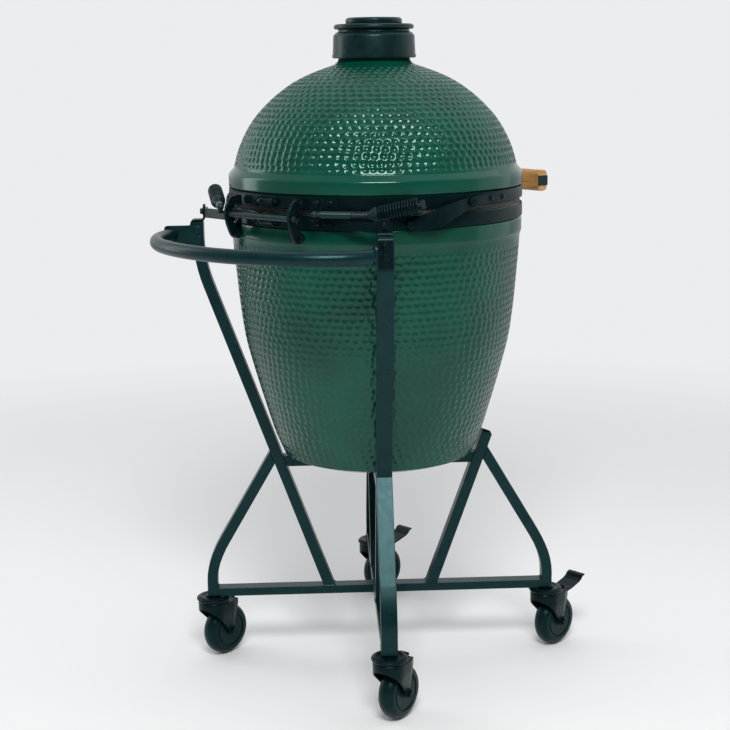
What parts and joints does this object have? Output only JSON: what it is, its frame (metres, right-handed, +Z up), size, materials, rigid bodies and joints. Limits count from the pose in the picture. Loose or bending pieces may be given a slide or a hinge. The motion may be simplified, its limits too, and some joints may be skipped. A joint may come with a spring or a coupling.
{
  "type": "kamado ceramic grill",
  "caption": "Egg-shaped green glazed ceramic charcoal grill on a steel stand with four casters, hinged lid with springs, bent push handle and chimney cap.",
  "frame": {"origin": "on the floor under the middle of the whole object; the axis of the egg stands 40.5 mm from it, towards -Y", "axes": "+Z up; +Y towards the hinge and the push handle, the back; -Y towards the lid handle, thermometer and draft door, the front; +X on the right of someone who stands at the front and looks at the grill. Left and right in node names are that person's."},
  "size_m": [0.562, 0.8, 1.2281],
  "materials": {
    "glaze": "deep green glaze, pebbled body and smooth rims",
    "frame_paint": "dark green-black powder coat",
    "dark_steel": "satin black paint",
    "cap_iron": "semi-gloss dark green-black enamel",
    "grate_iron": "raw cast iron",
    "wood": "oiled laminated wood",
    "steel": "brushed stainless steel",
    "felt": "dark high-temperature felt",
    "fired_clay": "unglazed fired clay",
    "wheel": "dark moulded tread and rim"
  },
  "bodies": {
    "stand": {"base": "glaze", "fire_box": "fired_clay", "fire_ring": "fired_clay", "fire_grate": "grate_iron", "cooking_grid": "steel", "gasket_lower": "felt", "draft_frame": "steel", "lower_band": "dark_steel", "hinge_lower_bracket": "dark_steel", "mount_strap_left": "dark_steel", "mount_strap_right": "dark_steel", "step_plate_left": "dark_steel", "step_plate_right": "dark_steel", "upright_rear_left": "frame_paint", "upright_rear_right": "frame_paint", "brace_front_left": "frame_paint", "brace_front_right": "frame_paint", "outer_leg_rear_left": "frame_paint", "outer_leg_rear_right": "frame_paint", "outer_leg_front_right": "frame_paint", "outer_leg_front_left": "frame_paint", "lower_bar_long": "frame_paint", "lower_bar_rear": "frame_paint", "lower_bar_front": "frame_paint", "upper_bar_long": "frame_paint", "upper_bar_rear": "frame_paint", "upper_bar_front": "frame_paint", "push_handle": "frame_paint"},
    "lid_assembly": {"lid": "glaze", "thermometer": "steel", "gasket_upper": "felt", "upper_band": "dark_steel", "lid_handle": "wood", "lid_handle_bracket": "dark_steel", "hinge_upper_bracket": "dark_steel", "hinge_plate_left": "dark_steel", "hinge_plate_right": "dark_steel", "hinge_cross_tube": "dark_steel", "spring_arm_left": "dark_steel", "spring_arm_right": "dark_steel", "cap_collar": "cap_iron"},
    "cap_plate": {"cap_lid": "cap_iron"},
    "cap_wheel": {"cap_dial": "cap_iron"},
    "draft_slide": {"draft_door": "steel"},
    "screen_slide": {"draft_screen": "steel"},
    "spring_link_left": {"spring_left": "dark_steel", "spring_rod_left": "dark_steel"},
    "spring_link_right": {"spring_right": "dark_steel", "spring_rod_right": "dark_steel"},
    "caster_rear_left": {"fork_rear_left": "dark_steel"},
    "roller_rear_left": {"wheel_rear_left": "wheel"},
    "caster_rear_right": {"fork_rear_right": "dark_steel"},
    "roller_rear_right": {"wheel_rear_right": "wheel"},
    "caster_front_right": {"fork_front_right": "dark_steel"},
    "roller_front_right": {"wheel_front_right": "wheel"},
    "brake_front_right": {"brake_pedal_front_right": "dark_steel"},
    "caster_front_left": {"fork_front_left": "dark_steel"},
    "roller_front_left": {"wheel_front_left": "wheel"},
    "brake_front_left": {"brake_pedal_front_left": "dark_steel"}
  },
  "joints": [
    {"name": "lid_hinge", "type": "hinge", "parent": "stand", "child": "lid_assembly", "pos_m": [0, 0.2405, 0.85557], "axis": [-1, 0, 0], "range_deg": [0, 60]},
    {"name": "cap_swing", "type": "hinge", "parent": "lid_assembly", "child": "cap_plate", "pos_m": [0.058, -0.0405, 1.20957], "axis": [0, 0, 1], "range_deg": [0, 95]},
    {"name": "cap_dial_turn", "type": "hinge", "parent": "cap_plate", "child": "cap_wheel", "pos_m": [0, -0.0405, 1.21957], "axis": [0, 0, 1], "range_deg": [0, 36]},
    {"name": "draft_door_slide", "type": "slide", "parent": "stand", "child": "draft_slide", "axis": [-1, 0, 0], "range_m": [0, 0.085]},
    {"name": "draft_screen_slide", "type": "slide", "parent": "stand", "child": "screen_slide", "axis": [-1, 0, 0], "range_m": [0, 0.085]},
    {"name": "spring_right_swing", "type": "hinge", "parent": "stand", "child": "spring_link_right", "pos_m": [0.118, 0.2415, 0.89757], "axis": [-0.4674, -0.4794, 0.7428], "range_deg": [0, 43.06]},
    {"name": "spring_left_swing", "type": "hinge", "parent": "stand", "child": "spring_link_left", "pos_m": [-0.118, 0.2415, 0.89757], "axis": [-0.4674, 0.4794, -0.7428], "range_deg": [0, 43.06]},
    {"name": "caster_rear_left_swivel", "type": "hinge", "parent": "stand", "child": "caster_rear_left", "pos_m": [-0.23193, 0.19143, 0.11757], "axis": [0, 0, 1], "continuous": true},
    {"name": "wheel_rear_left_spin", "type": "hinge", "parent": "caster_rear_left", "child": "roller_rear_left", "pos_m": [-0.22803, 0.1637, 0.04957], "axis": [0.9903, 0.1392, 0], "continuous": true},
    {"name": "caster_rear_right_swivel", "type": "hinge", "parent": "stand", "child": "caster_rear_right", "pos_m": [0.23193, 0.19143, 0.11757], "axis": [0, 0, 1], "continuous": true},
    {"name": "wheel_rear_right_spin", "type": "hinge", "parent": "caster_rear_right", "child": "roller_rear_right", "pos_m": [0.23242, 0.16344, 0.04957], "axis": [0.9998, 0.0175, 0], "continuous": true},
    {"name": "caster_front_right_swivel", "type": "hinge", "parent": "stand", "child": "caster_front_right", "pos_m": [0.23193, -0.27243, 0.11757], "axis": [0, 0, 1], "continuous": true},
    {"name": "wheel_front_right_spin", "type": "hinge", "parent": "caster_front_right", "child": "roller_front_right", "pos_m": [0.23095, -0.30041, 0.04957], "axis": [0.9994, -0.0349, 0], "continuous": true},
    {"name": "brake_front_right_press", "type": "hinge", "parent": "caster_front_right", "child": "brake_front_right", "pos_m": [0.23071, -0.30741, 0.10657], "axis": [0.9994, -0.0349, 0], "range_deg": [0, 8]},
    {"name": "caster_front_left_swivel", "type": "hinge", "parent": "stand", "child": "caster_front_left", "pos_m": [-0.23193, -0.27243, 0.11757], "axis": [0, 0, 1], "continuous": true},
    {"name": "wheel_front_left_spin", "type": "hinge", "parent": "caster_front_left", "child": "roller_front_left", "pos_m": [-0.23291, -0.30041, 0.04957], "axis": [0.9994, -0.0349, 0], "continuous": true},
    {"name": "brake_front_left_press", "type": "hinge", "parent": "caster_front_left", "child": "brake_front_left", "pos_m": [-0.23315, -0.30741, 0.10657], "axis": [0.9994, -0.0349, 0], "range_deg": [0, 8]}
  ],
  "couplings": [
    {"joint": "spring_right_swing", "follows": "lid_hinge", "ratio": 0.701},
    {"joint": "spring_left_swing", "follows": "lid_hinge", "ratio": 0.701}
  ]
}
